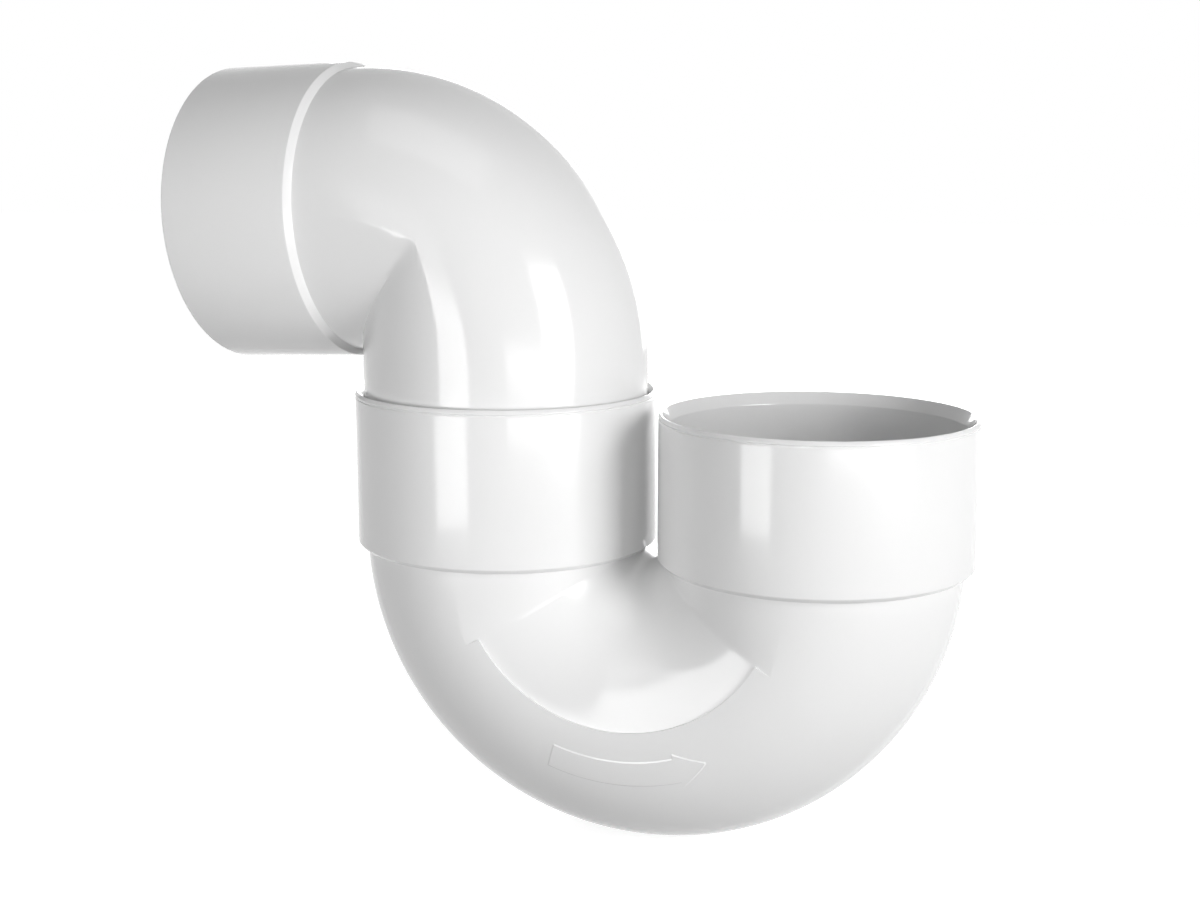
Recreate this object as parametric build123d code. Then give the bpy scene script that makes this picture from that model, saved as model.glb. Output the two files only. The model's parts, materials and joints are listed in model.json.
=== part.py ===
from build123d import *
import os
from math import cos, radians, sin, tan

# Boundary trap for a house drain, in white moulded plastic.
# Two mouldings: a U-bend with a socket on each leg, which holds the water seal,
# and an inlet bend, whose plain spigot is pushed into the taller of the two sockets.
# Origin: on the outlet leg's axis, at the stop inside its socket, where a pipe's end seats.
# +Z goes up out of the outlet socket, and the inlet leg stands on the -X side of it.
# All lengths are in millimetres and all angles in degrees.

# Pipe and walls
pipe_diameter = 110.0       # outside of the pipe that every socket takes, and of the spigot
pipe_wall = 3.2             # wall of both bends and of the spigot
pipe_clearance = 0.15       # play between a pipe and a socket, on the radius

# Every socket
shoulder_length = 4.7       # from the stop inside back to the step outside
lead_in_height = 4.7        # cone at the mouth that guides a pipe in
lip_width = 1.2             # flat ring round the cone, up to the outside of the mouth
mouth_bevel = 0.5           # outer edge of the mouth

# U-bend
trap_socket_wall = 3.45     # wall of its two sockets
trap_step_bevel = 1.6       # outer edge of the step below each socket
socket_gap = 5.4            # free space between the two sockets
outlet_socket_depth = 51.0  # from the mouth to the stop
inlet_socket_depth = 55.3
leg_angle = 30.0            # how far round the U each leg runs straight on before the saddle
saddle_edge_inset = 1.7     # the saddle ends this far inside the U's centre line

# Inlet bend
inside_corner = 2.9         # from the centre of the turn to the inside of the bend
bend_turn = 92.0            # from the spigot's axis to the arm's axis
spigot_length = 65.0        # plain part, from its end to where the bend starts
spigot_chamfer = 1.6        # bevel at the spigot's end, across the wall
spigot_bevel_length = 3.2   # the same bevel, along the spigot
spigot_seat_gap = 0.3       # from the spigot's end to the stop in its socket
arm_socket_depth = 50.8
arm_socket_wall = 2.75      # at its mouth
arm_step = 2.3              # the cone from the bend's outside up to the socket's root, on the radius
swivel_angle = 3.2          # the arm is turned this far back from the plane of the U

# Sizes that follow from these
pipe_radius = pipe_diameter / 2
waterway_radius = pipe_radius - pipe_wall
socket_bore_radius = pipe_radius + pipe_clearance
trap_socket_radius = socket_bore_radius + trap_socket_wall
arm_socket_radius = socket_bore_radius + arm_socket_wall
arm_root_radius = pipe_radius + arm_step
leg_spacing = 2 * trap_socket_radius + socket_gap
u_radius = leg_spacing / 2
bend_radius = pipe_radius + inside_corner

BASE = (Align.CENTER, Align.CENTER, Align.MIN)
TOP = (Align.CENTER, Align.CENTER, Align.MAX)


def socket_outside(depth, mouth_radius, root_radius, step_bevel):
    """Outside of a socket that stands on its stop at z = 0, with its step below."""
    outline = Polyline(
        (0, -shoulder_length),
        (root_radius - step_bevel, -shoulder_length),
        (root_radius, step_bevel - shoulder_length),
        (mouth_radius, depth - mouth_bevel),
        (mouth_radius - mouth_bevel, depth),
        (0, depth),
        close=True,
    )
    return revolve(make_face(Plane.XZ * outline), Axis.Z)


def socket_hollow(depth, mouth_radius):
    """Space inside the same socket: the bore above the stop, with its lead-in cone."""
    outline = Polyline(
        (0, 0),
        (socket_bore_radius, 0),
        (socket_bore_radius, depth - lead_in_height),
        (mouth_radius - lip_width, depth),
        (0, depth),
        close=True,
    )
    return revolve(make_face(Plane.XZ * outline), Axis.Z)


def trap_socket(depth):
    """Outside and hollow of one of the U-bend's sockets."""
    outside = socket_outside(depth, trap_socket_radius, trap_socket_radius, trap_step_bevel)
    return outside, socket_hollow(depth, trap_socket_radius)


def straight_then_turned(radius, turn_radius, angle):
    """One half of a tight bend: a tube along +Z from z = 0 that turns towards -X.

    The outside of the turn is part of a ring, and the inside is the straight tube
    carried on to the slanted plane where the two halves meet in a crease. Seen from
    the side, ring and tube meet on a parabola. A quadratic curve is exactly that.
    """
    turn_centre = (-turn_radius, 0, 0)
    ring = revolve(Circle(radius), Axis(turn_centre, (0, -1, 0)), angle)
    tube = Cylinder(radius, turn_radius + radius, align=BASE)

    half_slope = tan(radians(angle / 2))
    meet = (-turn_radius * half_slope**2, 2 * turn_radius * half_slope)
    parabola = Bezier((0, 0), (0, meet[1] / 2), meet)
    sides = Polyline(meet, (-turn_radius, 0), (0, 0))
    inside_of_turn = extrude(make_face(Plane.XZ * (parabola + sides)), 2 * radius, both=True)
    return (ring - inside_of_turn) + (tube & inside_of_turn)


def u_tube(radius):
    """Tube of the U-bend, centred between the legs, with the turn's centre at z = 0.

    The saddle between the legs is turned about that centre from the outline at which
    the straight legs end. It stops at an edge on the front and back of the tube, and
    the rest of the section there is the plain round of the U.
    """
    outlet_leg = Pos(u_radius, 0, 0) * mirror(
        straight_then_turned(radius, u_radius, leg_angle), Plane.XY)
    inlet_leg = mirror(outlet_leg, Plane.YZ)

    edge_radius = u_radius - saddle_edge_inset
    inner_side = Pos(edge_radius, 0) * Rectangle(4 * radius, 4 * radius, align=(Align.MAX, Align.CENTER))
    stretch = 1 / cos(radians(leg_angle))
    round_part = Pos(u_radius, 0) * Circle(radius) - inner_side
    saddle_part = Pos(u_radius * stretch, 0) * Ellipse(radius * stretch, radius) & inner_side
    middle = revolve(round_part + saddle_part, Axis.Y, 180 - 2 * leg_angle)
    return outlet_leg + Rot(0, leg_angle, 0) * middle + inlet_leg


def bend_tube(radius):
    """Tube of the inlet bend, from z = 0 on the spigot's axis to the start of the arm."""
    first_half = straight_then_turned(radius, bend_radius, bend_turn / 2)
    half = radians(bend_turn / 2)
    crease_plane = Plane(origin=(-bend_radius, 0, 0), x_dir=(0, 1, 0), z_dir=(-sin(half), 0, cos(half)))
    return first_half + mirror(first_half, crease_plane)


def make_trap_body():
    """U-bend with both sockets, in one moulding."""
    outside = u_tube(pipe_radius)
    hollow = u_tube(waterway_radius)
    for leg, depth in ((u_radius, outlet_socket_depth), (-u_radius, inlet_socket_depth)):
        socket, socket_space = trap_socket(depth)
        outside += Pos(leg, 0, 0) * socket
        hollow += Pos(leg, 0, 0) * socket_space
    return Pos(-u_radius, 0, 0) * (outside - hollow)


def make_inlet_bend():
    """Bend with a plain spigot below and a socket on its arm, in one moulding."""
    turn = radians(bend_turn)
    arm_start = Plane(
        origin=(-bend_radius + bend_radius * cos(turn), 0, bend_radius * sin(turn)),
        x_dir=(cos(turn), 0, sin(turn)),
        z_dir=(-sin(turn), 0, cos(turn)),
    )
    arm_stop = arm_start.offset(shoulder_length)

    spigot = Cylinder(pipe_radius, spigot_length, align=TOP)
    end_face = spigot.faces().sort_by(Axis.Z)[0]
    spigot = chamfer(end_face.edges(), spigot_chamfer, spigot_bevel_length, reference=end_face)

    outside = bend_tube(pipe_radius) + spigot
    outside += arm_stop * socket_outside(arm_socket_depth, arm_socket_radius, arm_root_radius, arm_step)
    hollow = bend_tube(waterway_radius) + Cylinder(waterway_radius, spigot_length, align=TOP)
    hollow += arm_start * Cylinder(waterway_radius, shoulder_length, align=BASE)
    hollow += arm_stop * socket_hollow(arm_socket_depth, arm_socket_radius)

    bend_start_height = spigot_seat_gap + spigot_length
    return Pos(-leg_spacing, 0, bend_start_height) * Rot(0, 0, -swivel_angle) * (outside - hollow)


os.makedirs("parts", exist_ok=True)
for node, make in (("trap_body", make_trap_body), ("inlet_bend", make_inlet_bend)):
    export_step(make(), f"parts/{node}.step")
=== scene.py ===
import bpy
import bmesh
import json
from math import acos, asin, atan, atan2, cos, pi, radians, sin, tan
from mathutils import Matrix, Vector


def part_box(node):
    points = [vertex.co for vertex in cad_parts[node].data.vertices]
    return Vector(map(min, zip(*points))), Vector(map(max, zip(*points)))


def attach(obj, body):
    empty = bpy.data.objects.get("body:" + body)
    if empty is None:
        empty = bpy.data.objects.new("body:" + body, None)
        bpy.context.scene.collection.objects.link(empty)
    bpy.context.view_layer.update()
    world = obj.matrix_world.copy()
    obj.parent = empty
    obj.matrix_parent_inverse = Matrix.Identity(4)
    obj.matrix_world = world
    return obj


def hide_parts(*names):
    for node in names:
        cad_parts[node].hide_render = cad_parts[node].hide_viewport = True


# Looks of a boundary trap in white moulded plastic: a U-bend with two sockets, and an inlet bend
# pushed into the taller one. Lengths are in metres. Places are in the frame of the CAD part:
# the origin is at the stop in the outlet socket, +Z is up and the flow arrow faces -Y.

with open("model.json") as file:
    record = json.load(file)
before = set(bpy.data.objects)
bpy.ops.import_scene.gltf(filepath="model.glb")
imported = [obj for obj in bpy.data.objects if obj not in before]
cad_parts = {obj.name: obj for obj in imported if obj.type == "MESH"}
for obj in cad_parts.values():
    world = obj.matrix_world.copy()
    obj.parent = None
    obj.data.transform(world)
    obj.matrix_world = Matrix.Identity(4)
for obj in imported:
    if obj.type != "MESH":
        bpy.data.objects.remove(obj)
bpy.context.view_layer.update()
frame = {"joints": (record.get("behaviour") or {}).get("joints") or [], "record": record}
mounts = {mount["name"]: mount for mount in frame["record"]["mounts"]}
mm = 0.001

# Sizes that the frame gives
socket_bore_radius = mounts["outlet_socket"]["dims"]["r_mm"] * mm
leg_spacing = -frame["joints"][0]["pos_m"][0]
u_radius = leg_spacing / 2
u_centre = Vector((-u_radius, 0, 0))
arm_axis = Vector(mounts["inlet_socket"]["axis"])
swivel_angle = atan2(arm_axis.y, -arm_axis.x)
bend_turn = pi / 2 + asin(-arm_axis.z)
floor_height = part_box("trap_body")[0].z

# Walls and sockets, as in the part's source
pipe_radius = 55.0 * mm
waterway_radius = pipe_radius - 3.2 * mm
shoulder_length = 4.7 * mm
lead_in_height = 4.7 * mm
lip_width = 1.2 * mm
mouth_bevel = 0.5 * mm
trap_socket_radius = socket_bore_radius + 3.45 * mm
trap_step_bevel = 1.6 * mm
outlet_socket_depth = 51.0 * mm
inlet_socket_depth = 55.3 * mm
leg_angle = radians(30)
saddle_edge_inset = 1.7 * mm
bend_radius = pipe_radius + 2.9 * mm
spigot_length = 65.0 * mm
spigot_chamfer = 1.6 * mm
spigot_bevel_length = 3.2 * mm
spigot_seat_gap = 0.3 * mm
arm_socket_depth = 50.8 * mm
arm_socket_radius = socket_bore_radius + 2.75 * mm
arm_root_radius = pipe_radius + 2.3 * mm

# Soft edges
edge_softness = 0.3 * mm  # from a corner to where its rounding starts
softest_share = 0.45      # largest share of an edge that one rounding takes

# Mouths of the trap's two sockets: the bevel on the outside, and the fine line below it
rim_bevel_width = 0.8 * mm
rim_bevel_height = 1.1 * mm
rim_line_drop = 1.9 * mm
rim_line_size = 0.45 * mm

# Flow arrow on the front of the U, laid out by radius and angle about the U's centre.
# Angles run from the outlet leg, round the bottom, to the inlet leg.
arrow_radius = 75.6 * mm
arrow_half_width = 5.15 * mm
arrow_head_half_width = 6.9 * mm
arrow_tail = radians(109)
arrow_head = radians(71.5)
arrow_tip = radians(63.6)
arrow_height = 0.3 * mm
arrow_root_depth = 2 * arrow_height  # its sides reach this far into the wall
arrow_bevel = 0.5 * mm
arrow_taper = 0.9                    # share of its width that the head loses up to its tip
arrow_least_top = 0.2                # narrowest flat top, as a share of the whole width

# Plastic. Each pattern has its frequency per metre and its detail
plastic_index = 1.53
plastic_shades = (0.825, 0.845)
plastic_roughness = (0.09, 0.15)
shade_pattern = (14, 2)
roughness_pattern = (55, 4)
wave_pattern = (45, 2)
wave_height = 0.4 * mm
wave_strength = 0.05
usual_noise = (0.3, 0.7)  # most of a pattern's values lie between these

# Floor. It shows as grey paper with a glow on top, which rises with distance
floor_half_size = 6
floor_shade = 0.5
floor_glow = 0.84
glow_rises_from = 0.3
full_glow_from = 1.2
floor_bounce = 0.28  # shade that it has for the light it throws back

# Light. Azimuths are in degrees, from the front, -Y, towards +X
room_strength = 0.04
lamp_distance = 1.2
strip_x = -0.277
strip_y = -0.478
strip_foot = -0.112
strip_top = 0.45
strip_width = 0.21
strip_facing = 156
strip_radiance = 4.8
strip_top_radiance = 1.3

# Brightness up a lamp, by height from 0 at its foot to 1 at its top
change_start = 0.35  # here its lower brightness starts to go over into its upper one
change_end = 0.5
fade_start = 0.6     # from here it fades out, to nothing at the top

# Camera, fitted to the mouths and outlines of both mouldings. Lens and sensor are in millimetres
camera_lens = 47.394
camera_sensor = 36
camera_place = Vector((103.80, -568.58, 142.86)) * mm
camera_target = Vector((-84.24, 0, 32.73)) * mm

# Fineness of the meshes
turn_step = radians(2)
corner_steps = 4
arrow_head_steps = 8
arrow_width_steps = 8
weld_distance = 0.004 * mm
body_sharp_angle = radians(34)
arrow_sharp_angle = radians(20)

# Columns of points on the outside and the inside of a turn. They overlap where the sides meet
side_degrees = range(-92, 93, 2)
outer_columns = [radians(angle) for angle in side_degrees]
inner_columns = [radians(180 + angle) for angle in side_degrees]


class Bend:
    """Tight bend of a tube: the outside follows a ring, and the inside is its two straight legs.

    The tube starts along +Z and turns towards -X, about a centre at distance turn_radius.
    Between the legs there may be a saddle, turned from the legs' last section, which ends
    saddle_edge_inset inside the centre line. The angle turned runs from 0 to turn. The angle
    around the tube is 0 on the outside of the turn.
    """

    def __init__(self, turn_radius, turn, leg_angle, place):
        self.turn_radius = turn_radius
        self.turn = turn
        self.leg_angle = leg_angle
        self.place = place

    def end_matrix(self, turned):
        """Frame of a leg's end: X away from the centre of the turn, Z along the tube."""
        outward = Vector((cos(turned), 0, sin(turned)))
        sideways = Vector((0, 1, 0))
        forward = Vector((-sin(turned), 0, cos(turned)))
        origin = self.turn_radius * (outward - Vector((1, 0, 0)))
        axes = Matrix((outward, sideways, forward)).transposed().to_4x4()
        return self.place @ Matrix.Translation(origin) @ axes

    def columns(self, radius, turned, saddle=False):
        """Angles around the tube, first on the outside of the turn and then on the inside.

        Those past the line where the two sides meet are moved onto it.
        """
        if saddle:
            edge = self.turn_radius - saddle_edge_inset
            outer_end = acos((edge - self.turn_radius) / radius)
            inner_end = acos((edge * cos(self.leg_angle) - self.turn_radius) / radius)
        else:
            drop = self.turn_radius * tan(min(turned, self.turn - turned) / 2) ** 2
            outer_end = acos(drop / radius)
            inner_end = acos(-drop / radius)
        outer = [max(-outer_end, min(outer_end, around)) for around in outer_columns]
        inner = [max(inner_end, min(2 * pi - inner_end, around)) for around in inner_columns]
        return outer, inner

    def ring(self, radius, turned, saddle, shoulder):
        """Points round the tube at one angle of the turn, none of them inside the shoulders."""
        first = 2 * atan(shoulder / (2 * self.turn_radius))
        nearer = min(max(turned, first), self.turn - first)
        outer, inner = self.columns(radius, nearer, saddle)
        points = []
        for around in outer:
            reach = self.turn_radius + radius * cos(around)
            margin = asin(shoulder / reach)
            angle = min(max(turned, margin), self.turn - margin)
            points.append(self.at(reach, angle, radius * sin(around)))
        for around in inner:
            across = self.turn_radius + radius * cos(around)
            margin = atan(shoulder / across)
            if margin > self.leg_angle:
                margin = asin(shoulder * cos(self.leg_angle) / across)
            angle = min(max(turned, margin), self.turn - margin)
            reach = across / cos(min(angle, self.turn - angle, self.leg_angle))
            points.append(self.at(reach, angle, radius * sin(around)))
        return points

    def at(self, reach, turned, y):
        """Point at a distance from the centre of the turn, in the scene's frame."""
        local = Vector((reach * cos(turned) - self.turn_radius, y, reach * sin(turned)))
        return self.place @ local

    def rings(self, radius, shoulder=0.0):
        """All rings from the start of the tube to its end."""
        saddle_end = self.turn - self.leg_angle
        stretches = [(0, self.leg_angle, False)]
        if saddle_end > self.leg_angle + turn_step:
            stretches.append((self.leg_angle, saddle_end, True))
        stretches.append((saddle_end, self.turn, False))
        return [
            self.ring(radius, turned, saddle, shoulder)
            for start, end, saddle in stretches
            for turned in steps(start, end)
        ]

    def end_rings(self, turned, outline):
        """Circles round a leg's axis, from pairs of radius and distance beyond the leg's end."""
        matrix = self.end_matrix(turned)
        way = -1 if turned == 0 else 1
        outer, inner = self.columns(pipe_radius, 0)
        rings = []
        for radius, distance in outline:
            circle = [(radius * cos(around), radius * sin(around)) for around in outer + inner]
            rings.append([matrix @ Vector((x, y, way * distance)) for x, y in circle])
        return rings


def steps(start, end):
    """Evenly spaced angles from start to end, both included."""
    count = max(1, round(abs(end - start) / turn_step))
    return [start + (end - start) * i / count for i in range(count + 1)]


def soften(outline):
    """Outline with every corner between its two ends rounded."""
    soft = [outline[0]]
    for before, corner, after in zip(outline, outline[1:], outline[2:]):
        before, corner, after = Vector(before), Vector(corner), Vector(after)
        near = corner + (before - corner) * min(edge_softness / (before - corner).length, softest_share)
        far = corner + (after - corner) * min(edge_softness / (after - corner).length, softest_share)
        for i in range(corner_steps + 1):
            part = i / corner_steps
            point = (1 - part) ** 2 * near + 2 * part * (1 - part) * corner + part ** 2 * far
            soft.append(tuple(point))
    return soft + [outline[-1]]


def skin(name, rings, sharp_angle, capped=False):
    """Closed mesh through rings of equally many points.

    The last ring is joined to the first, or both are capped.
    """
    count = len(rings[0])
    points = [point for ring in rings for point in ring]
    faces = []
    for i in range(len(rings) - capped):
        low, high = i * count, (i + 1) % len(rings) * count
        for j in range(count):
            k = (j + 1) % count
            faces.append((low + j, low + k, high + k, high + j))
    if capped:
        faces += [tuple(range(count)), tuple(range(len(points) - count, len(points)))]
    mesh = bpy.data.meshes.new(name)
    mesh.from_pydata(points, [], faces)
    form = bmesh.new()
    form.from_mesh(mesh)
    bmesh.ops.remove_doubles(form, verts=form.verts, dist=weld_distance)
    bmesh.ops.recalc_face_normals(form, faces=form.faces)
    form.to_mesh(mesh)
    form.free()
    mesh.shade_smooth()
    mesh.set_sharp_from_angle(angle=sharp_angle)
    piece = bpy.data.objects.new(name, mesh)
    bpy.context.scene.collection.objects.link(piece)
    return piece


def socket_outline(depth, mouth_radius, root_radius, step_bevel, rim):
    """Half section of a socket, from the step outside, over the mouth, to the stop inside.

    The rim gives the mouth's outer edge, in pairs of how far it lies inside and below the corner.
    """
    return [
        (root_radius - step_bevel, -shoulder_length),
        (root_radius, step_bevel - shoulder_length),
        *((mouth_radius - inset, depth - drop) for inset, drop in rim),
        (mouth_radius - lip_width, depth),
        (socket_bore_radius, depth - lead_in_height),
        (socket_bore_radius, 0),
        (waterway_radius, 0),
    ]


def trap_socket(depth):
    """Softened half section of one of the U-bend's sockets.

    The point where the tube meets the step is left out, because the bend's rings have it.
    """
    rim = [
        (0, rim_line_drop + rim_line_size),
        (rim_line_size, rim_line_drop),
        (0, rim_line_drop - rim_line_size),
        (0, rim_bevel_height),
        (rim_bevel_width, 0),
    ]
    tube_end = (pipe_radius, -shoulder_length)
    outline = socket_outline(depth, trap_socket_radius, trap_socket_radius, trap_step_bevel, rim)
    return soften([tube_end] + outline)[1:]


def make_trap_body():
    """U-bend with both sockets, turned downwards from the outlet leg to the inlet leg."""
    flip = Matrix.Diagonal((1, 1, -1, 1))
    bend = Bend(u_radius, pi, leg_angle, flip)
    rings = bend.end_rings(0, trap_socket(outlet_socket_depth)[::-1])
    rings += bend.rings(pipe_radius, shoulder_length)
    rings += bend.end_rings(pi, trap_socket(inlet_socket_depth))
    rings += bend.rings(waterway_radius)[::-1]
    return skin("trap_skin", rings, body_sharp_angle)


def make_inlet_bend():
    """Bend with its spigot and the socket on its arm."""
    swivel = Matrix.Rotation(-swivel_angle, 4, "Z")
    start = Matrix.Translation((-leg_spacing, 0, spigot_seat_gap + spigot_length))
    bend = Bend(bend_radius, bend_turn, bend_turn / 2, start @ swivel)
    spigot = [
        (waterway_radius, 0),
        (waterway_radius, spigot_length),
        (pipe_radius - spigot_chamfer, spigot_length),
        (pipe_radius, spigot_length - spigot_bevel_length),
        (pipe_radius, 0),
    ]
    rim = [(0, mouth_bevel), (mouth_bevel, 0)]
    step_bevel = arm_root_radius - pipe_radius
    socket = socket_outline(arm_socket_depth, arm_socket_radius, arm_root_radius, step_bevel, rim)
    socket = [(radius, distance + shoulder_length) for radius, distance in soften(socket)]
    rings = bend.end_rings(0, soften(spigot))
    rings += bend.rings(pipe_radius)
    rings += bend.end_rings(bend_turn, socket + [(waterway_radius, 0)])
    rings += bend.rings(waterway_radius)[::-1]
    return skin("inlet_bend_skin", rings, body_sharp_angle)


def arrow_outline():
    """The arrow from tail to tip, as angle, half width and height of its top."""
    bevel_turn = arrow_bevel / arrow_radius
    outline = [(arrow_tail, arrow_half_width, 0)]
    for angle in steps(arrow_tail - bevel_turn, arrow_head + bevel_turn):
        outline.append((angle, arrow_half_width, arrow_height))
    for i in range(arrow_head_steps + 1):
        part = i / arrow_head_steps
        half_width = (1 - arrow_taper * part) * arrow_head_half_width
        outline.append((arrow_head + part * (arrow_tip - arrow_head), half_width, arrow_height))
    outline.append((arrow_tip - bevel_turn, arrow_bevel, 0))
    return outline


def make_arrow():
    """Flow arrow: a low plate with bevelled edges that follows the round of the U."""
    front = Vector((0, -1, 0))
    rings = []
    for angle, half_width, height in arrow_outline():
        radial = Vector((cos(angle), 0, -sin(angle)))
        top = max(half_width - arrow_bevel, arrow_least_top * half_width)
        section = [(-half_width, -arrow_root_depth), (-half_width, 0)]
        section += [((2 * i / arrow_width_steps - 1) * top, height) for i in range(arrow_width_steps + 1)]
        section += [(half_width, 0), (half_width, -arrow_root_depth)]
        ring = []
        for across, lift in section:
            around = acos((arrow_radius + across - u_radius) / pipe_radius)
            normal = cos(around) * radial + sin(around) * front
            ring.append(u_centre + u_radius * radial + (pipe_radius + lift) * normal)
        rings.append(ring)
    return skin("flow_arrow", rings, arrow_sharp_angle, capped=True)


def map_range(tree, value, low, high, new_low, new_high, kind="LINEAR"):
    """The value, with the range from low to high mapped to the new one and held inside it."""
    node = tree.nodes.new("ShaderNodeMapRange")
    node.interpolation_type = kind
    for socket, number in zip(node.inputs[1:5], (low, high, new_low, new_high)):
        socket.default_value = number
    tree.links.new(value, node.inputs["Value"])
    return node.outputs["Result"]


def light_path_white(tree, dim, white):
    """Shows white to the camera, in reflections and through glass, and dim in all other light."""
    path = tree.nodes.new("ShaderNodeLightPath")
    seen = path.outputs["Is Camera Ray"]
    for ray in ("Is Glossy Ray", "Is Transmission Ray"):
        either = tree.nodes.new("ShaderNodeMath")
        either.operation = "MAXIMUM"
        tree.links.new(seen, either.inputs[0])
        tree.links.new(path.outputs[ray], either.inputs[1])
        seen = either.outputs["Value"]
    mix = tree.nodes.new("ShaderNodeMixShader")
    tree.links.new(seen, mix.inputs[0])
    tree.links.new(dim, mix.inputs[1])
    tree.links.new(white, mix.inputs[2])
    return mix.outputs["Shader"]


def moulded_plastic():
    """White gloss plastic: clean, with the faint waviness and dulling of a moulded surface."""
    material = bpy.data.materials.new("white_moulded_plastic")
    material.use_nodes = True
    tree = material.node_tree
    shader = tree.nodes["Principled BSDF"]
    shader.inputs["IOR"].default_value = plastic_index
    place = tree.nodes.new("ShaderNodeTexCoord").outputs["Object"]

    def noise(frequency, detail):
        """A pattern of soft noise over the surface."""
        texture = tree.nodes.new("ShaderNodeTexNoise")
        texture.inputs["Scale"].default_value = frequency
        texture.inputs["Detail"].default_value = detail
        tree.links.new(place, texture.inputs["Vector"])
        return texture.outputs["Fac"]

    shade = tree.nodes.new("ShaderNodeCombineColor")
    tone = map_range(tree, noise(*shade_pattern), *usual_noise, *plastic_shades)
    for socket in shade.inputs:
        tree.links.new(tone, socket)
    tree.links.new(shade.outputs["Color"], shader.inputs["Base Color"])
    dulling = map_range(tree, noise(*roughness_pattern), *usual_noise, *plastic_roughness)
    tree.links.new(dulling, shader.inputs["Roughness"])

    waves = tree.nodes.new("ShaderNodeBump")
    waves.inputs["Strength"].default_value = wave_strength
    waves.inputs["Distance"].default_value = wave_height
    tree.links.new(noise(*wave_pattern), waves.inputs["Height"])
    tree.links.new(waves.outputs["Normal"], shader.inputs["Normal"])
    return material


def white_sweep():
    """Pale paper that shows white, apart from the shadow on it, and throws back little light."""
    material = bpy.data.materials.new("white_sweep")
    material.use_nodes = True
    tree = material.node_tree
    paper = tree.nodes["Principled BSDF"]
    paper.inputs["Base Color"].default_value = (floor_shade, floor_shade, floor_shade, 1)
    paper.inputs["Roughness"].default_value = 1
    paper.inputs["Specular IOR Level"].default_value = 0

    away = tree.nodes.new("ShaderNodeVectorMath")
    away.operation = "LENGTH"
    tree.links.new(tree.nodes.new("ShaderNodeTexCoord").outputs["Object"], away.inputs[0])
    rising = map_range(tree, away.outputs["Value"], glow_rises_from, full_glow_from, floor_glow, 1)
    glow = tree.nodes.new("ShaderNodeEmission")
    tree.links.new(rising, glow.inputs["Strength"])
    both = tree.nodes.new("ShaderNodeAddShader")
    tree.links.new(paper.outputs["BSDF"], both.inputs[0])
    tree.links.new(glow.outputs["Emission"], both.inputs[1])

    dull = tree.nodes.new("ShaderNodeBsdfDiffuse")
    dull.inputs["Color"].default_value = (floor_bounce, floor_bounce, floor_bounce, 1)
    shown = light_path_white(tree, dull.outputs["BSDF"], both.outputs["Shader"])
    tree.links.new(shown, tree.nodes["Material Output"].inputs["Surface"])
    return material


def make_floor():
    """Floor that the trap stands on."""
    corners = ((-1, -1), (1, -1), (1, 1), (-1, 1))
    points = [(x * floor_half_size, y * floor_half_size, floor_height) for x, y in corners]
    mesh = bpy.data.meshes.new("floor")
    mesh.from_pydata(points, [], [(0, 1, 2, 3)])
    mesh.materials.append(white_sweep())
    floor = bpy.data.objects.new("floor", mesh)
    bpy.context.scene.collection.objects.link(floor)


def make_world():
    """Faint, even light from all round, with a white background."""
    world = bpy.data.worlds.new("studio")
    bpy.context.scene.world = world
    world.use_nodes = True
    tree = world.node_tree
    room = tree.nodes["Background"]
    room.inputs["Color"].default_value = (1, 1, 1, 1)
    room.inputs["Strength"].default_value = room_strength
    white = tree.nodes.new("ShaderNodeBackground")
    white.inputs["Color"].default_value = (1, 1, 1, 1)
    background = light_path_white(tree, room.outputs["Background"], white.outputs["Background"])
    tree.links.new(background, tree.nodes["World Output"].inputs["Surface"])


def direction(azimuth, elevation):
    """Unit vector, from angles in degrees."""
    azimuth, elevation = radians(azimuth), radians(elevation)
    return Vector((cos(elevation) * sin(azimuth), -cos(elevation) * cos(azimuth), sin(elevation)))


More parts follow.
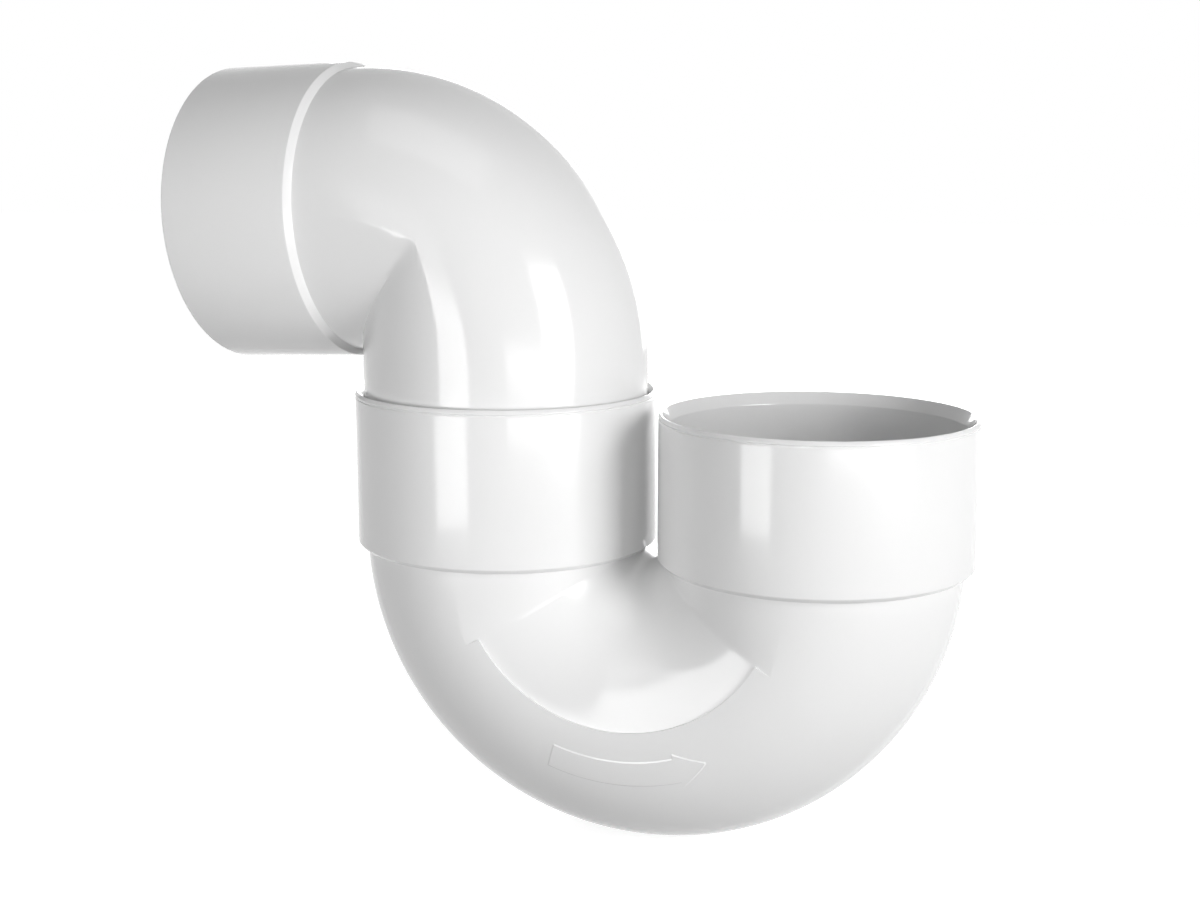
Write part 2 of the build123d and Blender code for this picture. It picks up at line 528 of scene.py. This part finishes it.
def soft_light(name, place, target, width, height, radiance, top_radiance):
    """Upright softbox, aimed at a point, that the camera doesn't see.

    Its brightness goes over from one value to the other half-way up, and fades out towards the top.
    """
    light = bpy.data.lights.new(name, "AREA")
    light.shape = "RECTANGLE"
    light.size = width
    light.size_y = height
    light.energy = pi * width * height  # makes the strength of its emission its radiance
    light.use_nodes = True
    tree = light.node_tree
    split = tree.nodes.new("ShaderNodeSeparateXYZ")
    place_on_lamp = tree.nodes.new("ShaderNodeNewGeometry").outputs["Parametric"]
    tree.links.new(place_on_lamp, split.inputs["Vector"])
    up = split.outputs["Y"]
    brightness = map_range(tree, up, change_start, change_end, radiance, top_radiance, "SMOOTHSTEP")
    fading = map_range(tree, up, fade_start, 1, 0, -top_radiance, "SMOOTHSTEP")
    total = tree.nodes.new("ShaderNodeMath")
    tree.links.new(brightness, total.inputs[0])
    tree.links.new(fading, total.inputs[1])
    tree.links.new(total.outputs["Value"], tree.nodes["Emission"].inputs["Strength"])
    lamp = bpy.data.objects.new(name, light)
    bpy.context.scene.collection.objects.link(lamp)
    lamp.location = place
    lamp.rotation_euler = (place - target).to_track_quat("Z", "Y").to_euler()
    lamp.visible_camera = False


def aimed_light(name, azimuth, elevation, width, height, radiance):
    """Softbox at the lamps' distance, aimed at the U's centre."""
    place = u_centre + lamp_distance * direction(azimuth, elevation)
    soft_light(name, place, u_centre, width, height, radiance, radiance)


def make_lamps():
    """Tall key light on the right and tall strip light on the left.

    Weaker ones stand low in front, above and behind.
    """
    aimed_light("key", azimuth=63, elevation=17, width=0.50, height=0.95, radiance=9.5)
    aimed_light("card", azimuth=44, elevation=1.5, width=1.10, height=0.28, radiance=3.0)
    aimed_light("top", azimuth=0, elevation=80, width=0.80, height=0.80, radiance=0.9)
    aimed_light("back", azimuth=-170, elevation=12, width=1.00, height=0.60, radiance=6.4)
    place = Vector((strip_x, strip_y, (strip_foot + strip_top) / 2))
    target = place + direction(strip_facing, 0)
    height = strip_top - strip_foot
    soft_light("strip", place, target, strip_width, height, strip_radiance, strip_top_radiance)


def make_camera():
    """Camera at the photograph's viewing angle."""
    camera = bpy.data.objects.new("camera", bpy.data.cameras.new("camera"))
    bpy.context.scene.collection.objects.link(camera)
    bpy.context.scene.camera = camera
    camera.data.sensor_width = camera_sensor
    camera.data.lens = camera_lens
    camera.location = camera_place
    camera.rotation_euler = (camera_target - camera_place).to_track_quat("-Z", "Y").to_euler()


trap_skin = make_trap_body()
inlet_bend_skin = make_inlet_bend()
arrow = make_arrow()
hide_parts("trap_body")
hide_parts("inlet_bend")
plastic = moulded_plastic()
for piece, body, slot in (
    (trap_skin, "trap", "trap_body"),
    (arrow, "trap", "trap_body"),
    (inlet_bend_skin, "inlet", "inlet_bend"),
):
    piece.data.materials.append(plastic)
    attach(piece, body)

make_floor()
make_world()
make_lamps()
make_camera()

bpy.context.scene.view_settings.view_transform = "Standard"
